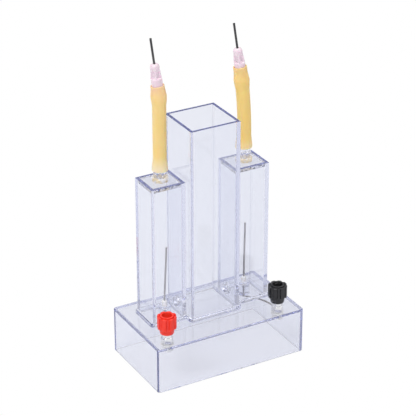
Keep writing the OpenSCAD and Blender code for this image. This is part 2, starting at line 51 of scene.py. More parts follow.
towards_camera = Vector((math.cos(view_rise) * math.sin(view_turn),
                         -math.cos(view_rise) * math.cos(view_turn), math.sin(view_rise)))
camera_data = bpy.data.cameras.new("photo_lens")
camera_data.sensor_width = 36
camera_data.lens = 153.86
camera_data.clip_start = 0.05
camera_data.clip_end = 40
camera = bpy.data.objects.new("photo_camera", camera_data)
camera.location = view_aim + towards_camera * view_distance
camera.rotation_euler = towards_camera.to_track_quat("Z", "Y").to_euler()
bpy.context.scene.collection.objects.link(camera)
bpy.context.scene.camera = camera


# Floor and studio light
# A plain white table that runs far out, under a broad soft light from above. What the clear
# plastic and the nickel mirror is greyer: a pale lavender table and a dim band low in the room.
floor_half = 9.0
floor_low = -0.05 * mm
low_light, low_blue = 0.31, 1.12
band_light, band_blue, band_height = 0.48, 1.06, 0.45
zenith_light, zenith_height = 1.42, 0.72


def material(name):
    """A new material with nodes, with its node tree and its Principled shader."""
    made = bpy.data.materials.new(name)
    made.use_nodes = True
    tree = made.node_tree
    return made, tree, tree.nodes["Principled BSDF"]


def noise(tree, scale, detail=2.0, stretch=(1, 1, 1)):
    """Noise on Object coordinates, with its scale in waves per metre."""
    place = tree.nodes.new("ShaderNodeTexCoord")
    turn = tree.nodes.new("ShaderNodeMapping")
    turn.inputs["Scale"].default_value = stretch
    grain = tree.nodes.new("ShaderNodeTexNoise")
    grain.inputs["Scale"].default_value = scale
    grain.inputs["Detail"].default_value = detail
    tree.links.new(place.outputs["Object"], turn.inputs["Vector"])
    tree.links.new(turn.outputs["Vector"], grain.inputs["Vector"])
    return grain.outputs["Fac"]


def tones(tree, value, low, high, start=0.3, end=0.7):
    """Runs between two colours as a value goes from start to end."""
    ramp = tree.nodes.new("ShaderNodeValToRGB")
    ramp.color_ramp.elements[0].position = start
    ramp.color_ramp.elements[0].color = (*low, 1)
    ramp.color_ramp.elements[1].position = end
    ramp.color_ramp.elements[1].color = (*high, 1)
    tree.links.new(value, ramp.inputs["Fac"])
    return ramp.outputs["Color"]


def spread(tree, value, low, high):
    """Brings a value that runs from 0 to 1 between two others."""
    step = tree.nodes.new("ShaderNodeMapRange")
    step.inputs["To Min"].default_value = low
    step.inputs["To Max"].default_value = high
    tree.links.new(value, step.inputs["Value"])
    return step.outputs["Result"]


def relief(tree, value, height, strength=1.0):
    """Bump of a real height from a value."""
    bump = tree.nodes.new("ShaderNodeBump")
    bump.inputs["Strength"].default_value = strength
    bump.inputs["Distance"].default_value = height
    tree.links.new(value, bump.inputs["Height"])
    return bump.outputs["Normal"]


def tint_with(tree, value, low, high):
    """Runs the material's own colour between two, by a value."""
    tree.links.new(tones(tree, value, low, high), tree.nodes["Principled BSDF"].inputs["Base Color"])


def gloss_with(tree, value, low, high):
    """Runs the material's roughness between two numbers, by a value."""
    tree.links.new(spread(tree, value, low, high), tree.nodes["Principled BSDF"].inputs["Roughness"])


def grain_with(tree, value, height, strength):
    """Gives the material a relief of a real height, by a value."""
    tree.links.new(relief(tree, value, height, strength), tree.nodes["Principled BSDF"].inputs["Normal"])


def mix_shaders(tree, share, first, second):
    """Mixes two shaders by a share."""
    mix = tree.nodes.new("ShaderNodeMixShader")
    tree.links.new(share, mix.inputs["Fac"])
    tree.links.new(first, mix.inputs[1])
    tree.links.new(second, mix.inputs[2])
    return mix.outputs["Shader"]


bpy.ops.mesh.primitive_grid_add(x_subdivisions=6, y_subdivisions=6, size=2 * floor_half,
                                location=(0, 0, floor_low))
table = bpy.context.object
table.name = "white_table"
paper, paper_tree, paper_shader = material("white_paper")
tint_with(paper_tree, noise(paper_tree, 3.0), (0.69, 0.70, 0.735), (0.71, 0.72, 0.755))
paper_shader.inputs["Roughness"].default_value = 0.85
paper_shader.inputs["Specular IOR Level"].default_value = 0.1
paper_path = paper_tree.nodes.new("ShaderNodeLightPath")
paper_white = paper_tree.nodes.new("ShaderNodeEmission")
paper_white.inputs["Color"].default_value = (1, 1, 1, 1)
paper_mix = mix_shaders(paper_tree, paper_path.outputs["Is Camera Ray"], paper_shader.outputs["BSDF"],
                        paper_white.outputs["Emission"])
paper_tree.links.new(paper_mix, paper_tree.nodes["Material Output"].inputs["Surface"])
table.data.materials.append(paper)
bpy.ops.object.select_all(action="DESELECT")

studio = bpy.data.worlds.new("studio")
bpy.context.scene.world = studio
studio.use_nodes = True
studio_nodes, studio_links = studio.node_tree.nodes, studio.node_tree.links
studio_nodes.clear()
studio_place = studio_nodes.new("ShaderNodeTexCoord")
studio_parts = studio_nodes.new("ShaderNodeSeparateXYZ")
studio_dome = studio_nodes.new("ShaderNodeValToRGB")
studio_dome.color_ramp.elements[0].position = 0.0
studio_dome.color_ramp.elements[0].color = (low_light, low_light, low_blue * low_light, 1)
studio_dome.color_ramp.elements[1].position = zenith_height
studio_dome.color_ramp.elements[1].color = (zenith_light, zenith_light, zenith_light, 1)
studio_band = studio_dome.color_ramp.elements.new(band_height)
studio_band.color = (band_light, band_light, band_blue * band_light, 1)
studio_light = studio_nodes.new("ShaderNodeBackground")
studio_backdrop = studio_nodes.new("ShaderNodeBackground")
studio_backdrop.inputs["Color"].default_value = (1, 1, 1, 1)
studio_path = studio_nodes.new("ShaderNodeLightPath")
studio_out = studio_nodes.new("ShaderNodeOutputWorld")
studio_links.new(studio_place.outputs["Generated"], studio_parts.inputs["Vector"])
studio_links.new(studio_parts.outputs["Z"], studio_dome.inputs["Fac"])
studio_links.new(studio_dome.outputs["Color"], studio_light.inputs["Color"])
studio_mix = mix_shaders(studio.node_tree, studio_path.outputs["Is Camera Ray"],
                         studio_light.outputs["Background"], studio_backdrop.outputs["Background"])
studio_links.new(studio_mix, studio_out.inputs["Surface"])

# The softbox that gives the coloured caps their highlights
softbox_data = bpy.data.lights.new("softbox", "AREA")
softbox_data.shape = "RECTANGLE"
softbox_data.size = 0.8
softbox_data.size_y = 0.5
softbox_data.energy = 8
softbox = bpy.data.objects.new("softbox", softbox_data)
softbox.location = (-0.9, -0.5, 1.3)
softbox.rotation_euler = (Vector(softbox.location) - view_aim).to_track_quat("Z", "Y").to_euler()
bpy.context.scene.collection.objects.link(softbox)

scene = bpy.context.scene
scene.view_settings.view_transform = "Standard"
scene.view_settings.look = "None"
scene.cycles.max_bounces = 160
scene.cycles.diffuse_bounces = 4
scene.cycles.glossy_bounces = 128
scene.cycles.transmission_bounces = 128
scene.cycles.transparent_max_bounces = 64
scene.cycles.sample_clamp_indirect = 6
scene.cycles.use_denoising = True


# Base
# A hollow box of clear plastic, open below, moulded in one with the collar that the tubes are
# glued into and with a boss under each electrode's seal; drilled for the terminals' shanks.
base_w, base_d, base_h = 111.6 * mm, 65.6 * mm, 32.3 * mm
base_wall = 2.2 * mm
base_corner_r = 2.4 * mm
base_edge_r, inside_edge_r, under_edge_r = 0.8 * mm, 0.2 * mm, 0.12 * mm
deck_under = base_h - base_wall
row_y = 7.6 * mm
gas_x = 31.5 * mm
collar_h = 2.6 * mm
collar_grow = 1.7 * mm
collar_edge_r, collar_corner_r = 0.7 * mm, 3.4 * mm
glue_gap = 0.05 * mm
red_x, black_x, post_y = -45.2 * mm, 39.0 * mm, -25.2 * mm
shank_hole_r = 2.05 * mm
boss_r, boss_top, boss_edge_r = 4.0 * mm, base_h + 9.2 * mm, 0.5 * mm
electrode_y = {"left": row_y - 3 * mm, "right": row_y}
pocket_r, pocket_z = 1.85 * mm, base_h + 7.0 * mm
wire_hole_r = 0.675 * mm
reservoir_w, reservoir_d = 36.6 * mm, 35.4 * mm
gas_w, gas_d = 24.8 * mm, 23.4 * mm
tube_corner_r = 0.45 * mm
tiny = 1e-6


def choose(obj, kind, test):
    """In edit mode, selects only those edges or faces of obj that pass a test."""
    bpy.ops.mesh.select_mode(type=kind)
    bpy.ops.mesh.select_all(action="DESELECT")
    form = bmesh.from_edit_mesh(obj.data)
    items = form.edges if kind == "EDGE" else form.faces
    for item in items:
        item.select_set(bool(test(item)))
    bmesh.update_edit_mesh(obj.data)


def pick(obj):
    """Makes obj the active piece and the only one selected."""
    bpy.ops.object.select_all(action="DESELECT")
    obj.select_set(True)
    bpy.context.view_layer.objects.active = obj


def start_edit(obj):
    """Opens edit mode on obj alone."""
    pick(obj)
    bpy.ops.object.mode_set(mode="EDIT")


def end_edit():
    bpy.ops.object.mode_set(mode="OBJECT")


def named(name):
    """The primitive just added, named, with its place and size put into its mesh."""
    obj = bpy.context.object
    obj.name = obj.data.name = name
    bpy.ops.object.transform_apply(location=True, rotation=True, scale=True)
    return obj


def upright(edge):
    """Whether an edge stands straight up."""
    a, b = (v.co for v in edge.verts)
    return abs(a.x - b.x) + abs(a.y - b.y) < tiny / 10 and abs(a.z - b.z) > tiny


def sharp(edge, limit=0.6):
    """Whether two faces meet at an edge at more than a limit, in radians."""
    return len(edge.link_faces) == 2 and edge.calc_face_angle(0) > limit


def rim(height):
    """A test for the sharp edges that lie at a height or above it."""
    return lambda edge: sharp(edge) and all(v.co.z > height - tiny for v in edge.verts)


def round_edges(obj, test, radius, steps):
    """Rounds those edges that pass a test."""
    start_edit(obj)
    choose(obj, "EDGE", test)
    bpy.ops.mesh.bevel(offset=radius, segments=steps, affect="EDGES")
    end_edit()


def block(name, size, centre, corner_r, steps=4):
    """A block whose four upright edges are rounded."""
    bpy.ops.mesh.primitive_cube_add(size=1, location=centre, scale=size)
    obj = named(name)
    round_edges(obj, upright, corner_r, steps)
    return obj


def pin(name, radius, low, high, x, y, sides=48):
    """A round pin along Z."""
    bpy.ops.mesh.primitive_cylinder_add(vertices=sides, radius=radius, depth=high - low,
                                        location=(x, y, (low + high) / 2))
    return named(name)


def combine(obj, tool, operation):
    """Cuts the tool from obj, joins it on, or keeps what they share, and removes the tool."""
    pick(obj)
    step = obj.modifiers.new(operation, "BOOLEAN")
    step.operation, step.solver, step.object = operation, "EXACT", tool
    bpy.ops.object.modifier_apply(modifier=step.name)
    bpy.data.objects.remove(tool)


def smooth(obj, angle=40):
    """Smooth shading that keeps flat faces flat: sharp edges by angle, normals weighted by area."""
    pick(obj)
    bpy.ops.object.shade_smooth_by_angle(angle=math.radians(angle))
    weigh = obj.modifiers.new("weigh", "WEIGHTED_NORMAL")
    weigh.weight = 100
    weigh.keep_sharp = True
    bpy.ops.object.modifier_apply(modifier=weigh.name)


def fit(obj, finish, body, node):
    """Gives a finished piece its material and its body, and hides the CAD solid that it stands for."""
    obj.data.materials.clear()
    obj.data.materials.append(finish)
    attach(obj, body)
    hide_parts(node)
    bpy.ops.object.select_all(action="DESELECT")


def let_light_through(tree, tint):
    """Lets lamps and the room's light pass a see-through piece, so that what is inside is lit."""
    path = tree.nodes.new("ShaderNodeLightPath")
    either = tree.nodes.new("ShaderNodeMath")
    either.operation = "MAXIMUM"
    veil = tree.nodes.new("ShaderNodeBsdfTransparent")
    veil.inputs["Color"].default_value = (*tint, 1)
    tree.links.new(path.outputs["Is Shadow Ray"], either.inputs[0])
    tree.links.new(path.outputs["Is Diffuse Ray"], either.inputs[1])
    mix = mix_shaders(tree, either.outputs["Value"], tree.nodes["Principled BSDF"].outputs["BSDF"],
                      veil.outputs["BSDF"])
    tree.links.new(mix, tree.nodes["Material Output"].inputs["Surface"])


def marked(tree, name):
    """The value that a piece stores for its points or faces under a name, or 0."""
    attribute = tree.nodes.new("ShaderNodeAttribute")
    attribute.attribute_name = name
    return attribute.outputs["Fac"]


def mark_faces(obj, name, test):
    """Stores 1 for the faces that pass a test of their middle and their normal, else 0."""
    attribute = obj.data.attributes.new(name, "FLOAT", "FACE")
    for face, item in zip(obj.data.polygons, attribute.data):
        item.value = float(test(face.center, face.normal))


clear_plastic, clear_tree, clear_shader = material("clear_styrene")
clear_shader.inputs["Transmission Weight"].default_value = 1.0
clear_shader.inputs["IOR"].default_value = 1.50
clear_haze = noise(clear_tree, 38.0, 3.0)
tint_with(clear_tree, clear_haze, (0.958, 0.963, 0.982), (0.972, 0.976, 0.99))
drilled_roughness = 0.35
clear_gloss = clear_tree.nodes.new("ShaderNodeMath")
clear_gloss.operation = "MULTIPLY_ADD"
clear_gloss.inputs[1].default_value = drilled_roughness
clear_tree.links.new(marked(clear_tree, "drilled"), clear_gloss.inputs[0])
clear_tree.links.new(spread(clear_tree, clear_haze, 0.0, 0.012), clear_gloss.inputs[2])
clear_tree.links.new(clear_gloss.outputs["Value"], clear_shader.inputs["Roughness"])
grain_with(clear_tree, noise(clear_tree, 40.0), 0.05 * mm, 0.008)
clear_tint = clear_tree.nodes.new("ShaderNodeVolumeAbsorption")
clear_tint.inputs["Color"].default_value = (0.357, 0.393, 0.70, 1)
clear_tint.inputs["Density"].default_value = 12.0
clear_tree.links.new(clear_tint.outputs["Volume"], clear_tree.nodes["Material Output"].inputs["Volume"])
let_light_through(clear_tree, (0.975, 0.975, 0.98))

base = block("clear_base", (base_w, base_d, base_h), (0, 0, base_h / 2), base_corner_r, 6)
round_edges(base, rim(base_h), base_edge_r, 5)
hollow = block("hollow", (base_w - 2 * base_wall, base_d - 2 * base_wall, 2 * deck_under),
               (0, 0, 0), base_edge_r)
round_edges(hollow, rim(deck_under), inside_edge_r, 2)
combine(base, hollow, "DIFFERENCE")
round_edges(base, lambda e: sharp(e) and all(v.co.z < tiny for v in e.verts), under_edge_r, 2)

feet = [(0, reservoir_w, reservoir_d), (-gas_x, gas_w, gas_d), (gas_x, gas_w, gas_d)]
for foot_x, foot_w, foot_d in feet:
    lip = block("lip", (foot_w + 2 * collar_grow, foot_d + 2 * collar_grow, collar_h + base_wall / 2),
                (foot_x, row_y, base_h + collar_h / 2 - base_wall / 4), collar_corner_r, 8)
    round_edges(lip, rim(base_h + collar_h), collar_edge_r, 5)
    combine(base, lip, "UNION")
for foot_x, foot_w, foot_d in feet:
    seat = block("seat", (foot_w + 2 * glue_gap, foot_d + 2 * glue_gap, 2 * collar_h),
                 (foot_x, row_y, base_h + collar_h), tube_corner_r + glue_gap, 8)
    combine(base, seat, "DIFFERENCE")
for x, y in ((-gas_x, electrode_y["left"]), (gas_x, electrode_y["right"])):
    boss = pin("boss", boss_r, base_h - base_wall / 2, boss_top, x, y)
    round_edges(boss, rim(boss_top), boss_edge_r, 3)
    combine(base, boss, "UNION")
    combine(base, pin("bore", wire_hole_r, 0, 2 * base_h, x, y, 24), "DIFFERENCE")
    combine(base, pin("bore", pocket_r, pocket_z, 2 * base_h, x, y), "DIFFERENCE")
for x in (red_x, black_x):
    combine(base, pin("bore", shank_hole_r, 0, 2 * base_h, x, post_y), "DIFFERENCE")
smooth(base)
fit(base, clear_plastic, "stand", "base_box")


# Reservoir
# An open square tube of the same clear plastic, glued into the middle of the collar. A short
# spigot in each side wall passes through the gas tube's wall, so that the liquid can move over.
reservoir_top = 170.0 * mm
tube_wall = 2.2 * mm
port_z = base_h + 7.6 * mm
port_r, spigot_r = 3.0 * mm, 4.2 * mm
spigot_reach = 21.3 * mm
rim_edge_r = 0.2 * mm


def outline(w, d, x, z):
    """The rounded outline of a square tube, as a loop of edges."""
    bpy.ops.mesh.primitive_plane_add(size=1, location=(x, row_y, z))
    obj = bpy.context.object
    obj.scale = (w, d, 1)
    named("outline")
    start_edit(obj)
    bpy.ops.mesh.select_all(action="SELECT")
    bpy.ops.mesh.bevel(offset=tube_corner_r, segments=8, affect="VERTICES")
    bpy.ops.mesh.select_all(action="SELECT")
    bpy.ops.mesh.delete(type="ONLY_FACE")
    end_edit()
    return obj


def square_tube(name, w, d, x, low, high):
    """A square tube: two rounded outlines joined by a ring of faces that is drawn up."""
    inner = outline(w - 2 * tube_wall, d - 2 * tube_wall, x, low)
    obj = outline(w, d, x, low)
    obj.name = obj.data.name = name
    inner.select_set(True)
    obj.select_set(True)
    bpy.context.view_layer.objects.active = obj
    bpy.ops.object.join()
    start_edit(obj)
    bpy.ops.mesh.select_mode(type="EDGE")
    bpy.ops.mesh.select_all(action="SELECT")
    bpy.ops.mesh.bridge_edge_loops()
    bpy.ops.mesh.select_all(action="SELECT")
    bpy.ops.mesh.extrude_region_move(TRANSFORM_OT_translate={"value": (0, 0, high - low)})
    bpy.ops.mesh.select_all(action="SELECT")
    bpy.ops.mesh.normals_make_consistent(inside=False)
    end_edit()
    round_edges(obj, rim(high), rim_edge_r, 2)
    return obj


def cross_pin(radius, x_from, x_to):
    """A round pin along X on the ports' line."""
    bpy.ops.mesh.primitive_cylinder_add(vertices=48, radius=radius, depth=abs(x_to - x_from),
                                        location=((x_from + x_to) / 2, row_y, port_z),
                                        rotation=(0, math.pi / 2, 0))
    return named("cross_pin")


def on_port(point, normal):
    """Whether a face belongs to a port's bore, to the spigot round it or to the spigot's hole."""
    out = math.hypot(point.y - row_y, point.z - port_z)
    return out < spigot_r + 2 * glue_gap and abs(normal.x) < 0.5


reservoir = square_tube("clear_reservoir", reservoir_w, reservoir_d, 0,
                        base_h + glue_gap, reservoir_top)
for side in (-1, 1):
    spigot = cross_pin(spigot_r, side * (reservoir_w - tube_wall) / 2, side * spigot_reach)
    combine(reservoir, spigot, "UNION")
combine(reservoir, cross_pin(port_r, -2 * spigot_reach, 2 * spigot_reach), "DIFFERENCE")
smooth(reservoir)
mark_faces(reservoir, "drilled", on_port)
fit(reservoir, clear_plastic, "stand", "reservoir_tube")


# Gas tubes
# Two shorter square tubes, glued into the collar on either side of the reservoir. The wall that
# faces the reservoir is holed for its spigot.
gas_top = 132.5 * mm
sides = ((-1, "left"), (1, "right"))

for side, word in sides:
    gas_tube = square_tube("clear_" + word + "_gas_tube", gas_w, gas_d, side * gas_x,
                           base_h + glue_gap, gas_top)
    wall_x = side * (gas_x - gas_w / 2)
    combine(gas_tube, cross_pin(spigot_r + glue_gap, wall_x - 2 * tube_wall, wall_x + 2 * tube_wall),
            "DIFFERENCE")
    smooth(gas_tube)
    mark_faces(gas_tube, "drilled", on_port)
    fit(gas_tube, clear_plastic, "stand", word + "_gas_tube")


# Tube caps
# A thick plate glued inside the top of each gas tube, moulded with a nozzle: a round foot, a neck
# and a thinner spout for the rubber tube, bored right through. The foot's faces are painted
# amber and let less light through: a painted refraction of the rubber above it.
plate_low = 129.5 * mm
plate_corner_r = 0.45 * mm
bore_r, neck_r, foot_r, spout_r = 1.5 * mm, 4.4 * mm, 5.4 * mm, 3.4 * mm
foot_top, foot_edge_r = gas_top + 2.8 * mm, 0.6 * mm
neck_top, spout_top = 139.7 * mm, 149.2 * mm
neck_edge, lead_in = 0.2 * mm, 0.4 * mm


def blend_colour(tree, share, first, second):
    """Mixes two colours, given as values or as outputs, by a share."""
    mix = tree.nodes.new("ShaderNodeMix")
    mix.data_type = "RGBA"
    tree.links.new(share, mix.inputs["Factor"])
    for socket, colour in ((mix.inputs[6], first), (mix.inputs[7], second)):
        if isinstance(colour, tuple):
            socket.default_value = (*colour, 1)
        else:
            tree.links.new(colour, socket)
    return mix.outputs[2]


def arc(r, z, across, up, degrees):
    """Profile points on a rounded corner: an ellipse's arc about (r, z), its angles from level."""
    turns = [math.radians(degree) for degree in degrees]
    return [(r + across * math.cos(turn), z + up * math.sin(turn)) for turn in turns]


def turned(name, profile, foot=(0, 0, 0), sides=64):
    """A turned form: a corner drawn out along the profile's (radius, height) points, then spun."""
    foot = Vector(foot)
    bpy.ops.mesh.primitive_plane_add(size=mm, location=foot)
    obj = named(name)
    start_edit(obj)
    bpy.ops.mesh.select_all(action="SELECT")
    bpy.ops.mesh.merge(type="CENTER")
    bpy.ops.mesh.select_mode(type="VERT")
    bpy.ops.mesh.select_all(action="SELECT")
    bpy.ops.transform.translate(value=(profile[0][0], 0, profile[0][1]))
    for (r0, z0), (r1, z1) in zip(profile, profile[1:]):
        bpy.ops.mesh.extrude_region_move(TRANSFORM_OT_translate={"value": (r1 - r0, 0, z1 - z0)})
    bpy.ops.mesh.select_all(action="SELECT")
    bpy.ops.mesh.spin(steps=sides, angle=2 * math.pi, center=foot, axis=(0, 0, 1))
    bpy.ops.mesh.select_all(action="SELECT")
    bpy.ops.mesh.remove_doubles(threshold=tiny)
    bpy.ops.mesh.select_all(action="SELECT")
    bpy.ops.mesh.normals_make_consistent(inside=False)
    end_edit()
    return obj


glued_plastic = clear_plastic.copy()
glued_plastic.name = "glued_styrene"
glued_tree = glued_plastic.node_tree
glued_shader = glued_tree.nodes["Principled BSDF"]
glued_marks = relief(glued_tree, noise(glued_tree, 420.0), 0.9 * mm)
glued_tree.links.new(marked(glued_tree, "glued"), glued_marks.node.inputs["Strength"])
glued_tree.links.new(glued_marks, glued_shader.inputs["Normal"])
glued_plain = glued_shader.inputs["Base Color"].links[0].from_socket
# Painted shade: dark specks on the glued faces. They stand for real bubbles in the glue, and their darkness
# is painted
painted_bubble_shade = tones(glued_tree, noise(glued_tree, 620.0, 0.0), (0.06, 0.065, 0.09), (0.98, 0.984, 0.995),
                     0.35, 0.40)
# Painted refraction: the amber of the rubber above, painted onto the faces of the nozzle's foot
painted_amber_refraction = tones(glued_tree, noise(glued_tree, 330.0, 1.0), (0.99, 0.81, 0.49), (1.0, 0.97, 0.92),
                    0.45, 0.6)
shaded_glue_line = blend_colour(glued_tree, marked(glued_tree, "glued"), glued_plain, painted_bubble_shade)
glued_tree.links.new(blend_colour(glued_tree, marked(glued_tree, "amber"), shaded_glue_line, painted_amber_refraction),
                     glued_shader.inputs["Base Color"])
# Less transmission on the foot, so that the painted amber refraction shows
glued_tree.links.new(spread(glued_tree, marked(glued_tree, "amber"), 1.0, 0.5),
                     glued_shader.inputs["Transmission Weight"])

for side, word in sides:
    inside = 2 * (tube_wall + glue_gap)
    plate = block("clear_" + word + "_tube_cap", (gas_w - inside, gas_d - inside, gas_top - plate_low),
                  (side * gas_x, row_y, (gas_top + plate_low) / 2), plate_corner_r)
    round_edges(plate, lambda e: sharp(e, 1.2) and not upright(e), rim_edge_r, 2)
    nozzle = [(0, plate_low + mm), (foot_r, plate_low + mm)]
    nozzle += arc(foot_r - foot_edge_r, foot_top - foot_edge_r, foot_edge_r, foot_edge_r, range(0, 91, 15))
    nozzle += [(neck_r, foot_top), (neck_r, neck_top - neck_edge), (neck_r - neck_edge, neck_top),
               (spout_r, neck_top), (spout_r, spout_top - 2 * lead_in), (spout_r - lead_in, spout_top),
               (0, spout_top)]
    combine(plate, turned("nozzle", nozzle, (side * gas_x, row_y, 0)), "UNION")
    combine(plate, pin("bore", bore_r, plate_low - mm, spout_top + mm, side * gas_x, row_y),
            "DIFFERENCE")
    smooth(plate)

    def on_glue(point, normal):
        """Whether a face is one of the plate's sides."""
        reach = max(abs(point.x - side * gas_x) - gas_w / 2, abs(point.y - row_y) - gas_d / 2)
        return reach > -tube_wall - 3 * glue_gap and abs(normal.z) < 0.5

    def on_foot(point, normal):
        """Whether a face belongs to the nozzle's foot."""
        out = math.hypot(point.x - side * gas_x, point.y - row_y)
        return neck_r < out < foot_r + glue_gap and gas_top < point.z < foot_top

    mark_faces(plate, "glued", on_glue)
    # Marks the foot's faces for the painted amber refraction
    mark_faces(plate, "amber", on_foot)
    fit(plate, glued_plastic, "stand", word + "_tube_cap")


# Rubber tubes
# Amber latex tubing, cut square at both ends: stretched over the nozzle's spout below and over the
# needle hub's flange near its mouth, where the rubber swells. Both lean a little to the back left.
latex_r, latex_foot_r, latex_bulge_r = 4.53 * mm, 5.35 * mm, 5.15 * mm
latex_bore_r, spout_pocket_r, hub_pocket_r = 3.0 * mm, 3.45 * mm, 3.8 * mm
spout_l = 9.5 * mm
bulge_half = 6.5 * mm
hub_flange_t = 1.2 * mm
ridge_h, ridge_half = 0.1 * mm, 0.8 * mm
lip_r = 0.3 * mm
lean_turn = math.radians(150.5)
lean_dir = Vector((math.cos(lean_turn), math.sin(lean_turn), 0))
latex_age = {"left": 0.0, "right": 0.45}
rings, bore_rings = 96, 24
# Where the pale tint and the hub's painted pink glow fade, in spout lengths above the foot and in hub depths
# above the mouth
pale_from, pale_to = 1.25, -0.1
glow_from, glow_to = -1.4, 0.2
# For each side: the foot's height, the length, where the bend starts, its angle, the hub's depth
rubber = {"left": (139.8 * mm, 59 * mm, 44 * mm, math.radians(7.1), 8 * mm),
          "right": (142.2 * mm, 57 * mm, 8 * mm, math.radians(7.8), 10 * mm)}


def rubber_line(side, word, h):
    """The point and the direction of a rubber tube's centre line, at a height above its foot."""
    foot, length, start, lean, _ = rubber[word]
    bent = max(0.0, h - start)
    drift = math.tan(lean) * bent * bent / (2 * (length - start))
    slope = math.tan(lean) * bent / (length - start)
    point = Vector((side * gas_x, row_y, foot + h)) + drift * lean_dir
    return point, (Vector((0, 0, 1)) + slope * lean_dir).normalized()


def follow(obj, line):
    """Bends a form that stands on the origin, so that its axis follows a line."""
    for vertex in obj.data.vertices:
        point, along = line(vertex.co.z)
        tilt = Vector((0, 0, 1)).rotation_difference(along)
        vertex.co = point + tilt @ Vector((vertex.co.x, vertex.co.y, 0))
    obj.data.update()


def ease(value, start, end):
    """Runs smoothly from 0 to 1 as a value goes from start to end."""
    t = max(0.0, min(1.0, (value - start) / (end - start)))
    return t * t * (3 - 2 * t)


def mark(obj, name, value):
    """Stores a value for each point of a piece, for its material to read."""
    attribute = obj.data.attributes.new(name, "FLOAT", "POINT")
    for vertex, item in zip(obj.data.vertices, attribute.data):
        item.value = value(vertex.co)


latex, latex_tree, latex_shader = material("amber_latex")
latex_body = tones(latex_tree, noise(latex_tree, 160.0, 3.0, (1, 1, 0.35)),
                   (0.93, 0.63, 0.235), (0.97, 0.69, 0.29))
latex_pale = blend_colour(latex_tree, marked(latex_tree, "over_spout"), latex_body, (0.88, 0.75, 0.52))
# Painted glow: the pink of the hub inside, painted into the rubber's colour near the mouth
latex_hub_glow = blend_colour(latex_tree, marked(latex_tree, "over_hub"), latex_pale, (0.95, 0.60, 0.34))
latex_tree.links.new(blend_colour(latex_tree, marked(latex_tree, "aged"), latex_hub_glow, (0.95, 0.62, 0.17)),
                     latex_shader.inputs["Base Color"])
latex_shader.inputs["Subsurface Weight"].default_value = 0.55
latex_shader.inputs["Subsurface Radius"].default_value = (1.0, 0.55, 0.22)
latex_shader.inputs["Subsurface Scale"].default_value = 3.0 * mm
latex_shader.inputs["Specular IOR Level"].default_value = 0.35
gloss_with(latex_tree, noise(latex_tree, 300.0), 0.38, 0.6)
grain_with(latex_tree, noise(latex_tree, 700.0, 4.0, (1, 1, 0.5)), 0.08 * mm, 0.35)

for side, word in sides:
    foot, length, _, _, depth = rubber[word]
    spout_in = spout_top - foot

    def outer_r(h):
        """Outside radius: wide over the spout and over the hub, with a ridge at the hub's flange."""
        swell = max(0.0, 1 - ((h - length + depth) / bulge_half) ** 2) ** 2
        ridge = math.exp(-((h - length + depth - hub_flange_t / 2) / ridge_half) ** 2)
        return (latex_r + (latex_foot_r - latex_r) * (1 - ease(h, 0, spout_l))
                + (latex_bulge_r - latex_r) * swell + ridge_h * ridge)

    heights = [lip_r + (length - 2 * lip_r) * i / rings for i in range(rings + 1)]
    wall = [(outer_r(0) - lip_r, 0)] + [(outer_r(h), h) for h in heights]
    wall += [(outer_r(length) - lip_r, length), (hub_pocket_r + lip_r, length),
             (hub_pocket_r, length - lip_r), (hub_pocket_r, length - depth),
             (latex_bore_r, length - depth)]
    wall += [(latex_bore_r, length - depth + (spout_in - length + depth) * i / bore_rings)
             for i in range(1, bore_rings + 1)]
    wall += [(spout_pocket_r, spout_in), (spout_pocket_r, lip_r), (spout_pocket_r + lip_r, 0)]
    wall.append(wall[0])
    tube = turned(word + "_rubber_tube", wall, sides=48)
    mark(tube, "over_spout", lambda p: ease(p.z / spout_in, pale_from, pale_to))
    mark(tube, "over_hub", lambda p: ease((p.z - length) / depth, glow_from, glow_to))
    mark(tube, "aged", lambda p: latex_age[word])
    follow(tube, lambda h: rubber_line(side, word, h))
    smooth(tube)
    fit(tube, latex, word + "_rubber", word + "_latex_tube")


# Needle hubs
# Moulded in translucent pink plastic: a flange and a round body pushed into the rubber, four fins
# on a slim core above it, and a domed nose. A tapered socket opens below.
hub_l, hub_body_r, hub_flange_r = 22.5 * mm, 3.6 * mm, 3.75 * mm
hub_core_r, hub_nose_r, hub_tip_r = 1.9 * mm, 3.0 * mm, 1.5 * mm
hub_fin_t = 1.2 * mm
hub_fin_low, hub_nose_low, hub_dome_low = 12.8 * mm, 18.0 * mm, 20.25 * mm
hub_socket_l, hub_socket_r, hub_socket_end_r = 10 * mm, 2.15 * mm, 1.85 * mm
hub_bore_r, tip_bore_r, tip_wall = 1.15 * mm, 0.79 * mm, 0.6 * mm
hub_lift = 0.1 * mm
edge = 0.2 * mm


def mouth_frame(side, word):
    """The frame of a needle and its hub: its origin is the hub's lower end, its Z the needle's line."""
    _, length, _, _, depth = rubber[word]
    point, along = rubber_line(side, word, length)
    tilt = Vector((0, 0, 1)).rotation_difference(along)
    return Matrix.Translation(point + (hub_lift - depth) * along) @ tilt.to_matrix().to_4x4()


pink, pink_tree, pink_shader = material("pink_hub_plastic")
tint_with(pink_tree, noise(pink_tree, 220.0), (0.80, 0.645, 0.70), (0.84, 0.70, 0.755))
pink_shader.inputs["Subsurface Weight"].default_value = 0.4
pink_shader.inputs["Subsurface Radius"].default_value = (1.0, 0.7, 0.9)
pink_shader.inputs["Subsurface Scale"].default_value = 2.0 * mm
gloss_with(pink_tree, noise(pink_tree, 500.0), 0.3, 0.42)
grain_with(pink_tree, noise(pink_tree, 900.0, 3.0), 0.02 * mm, 0.2)
let_light_through(pink_tree, (0.95, 0.85, 0.92))

